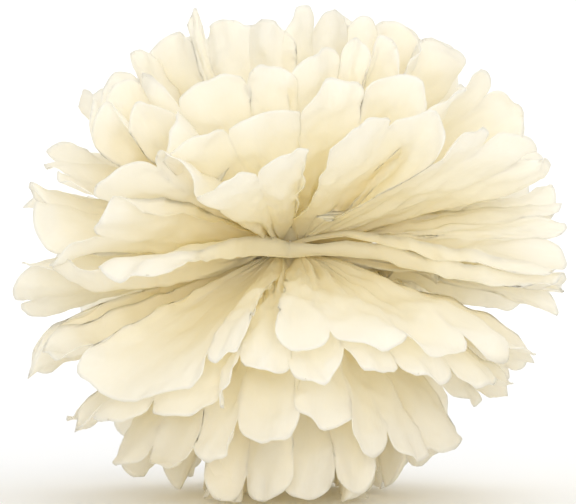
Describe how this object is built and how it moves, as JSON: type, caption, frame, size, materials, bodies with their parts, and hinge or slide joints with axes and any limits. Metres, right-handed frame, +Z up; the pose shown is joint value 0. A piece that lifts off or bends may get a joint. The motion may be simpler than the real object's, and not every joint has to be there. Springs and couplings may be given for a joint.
{
  "type": "tissue paper pom pom",
  "caption": "Ball of ivory tissue paper: pleated sheets with round ends, tied at the middle with a wire and pulled apart into layers of petals.",
  "frame": {"origin": "on the surface the pom pom stands on, under the wire tie, which is the middle of the box's floor", "axes": "+Z up, away from the surface and along the hanging eye's stem; X along the folded strip, so each sheet's two fans open to -X and +X; +Y away from the viewer, along the seam between the fans"},
  "size_m": [0.25, 0.2472, 0.2189],
  "materials": {
    "tissue": "matt, thin and translucent",
    "wrapped_wire": "matt paper wrap"
  },
  "bodies": {
    "root": {"tissue_sheet_down_1": "tissue", "tissue_sheet_down_2": "tissue", "tissue_sheet_down_3": "tissue", "tissue_sheet_down_4": "tissue", "tissue_sheet_down_5": "tissue", "tissue_sheet_up_1": "tissue", "tissue_sheet_up_2": "tissue", "tissue_sheet_up_3": "tissue", "tissue_sheet_up_4": "tissue", "tissue_sheet_up_5": "tissue", "wire_tie": "wrapped_wire"}
  },
  "joints": []
}
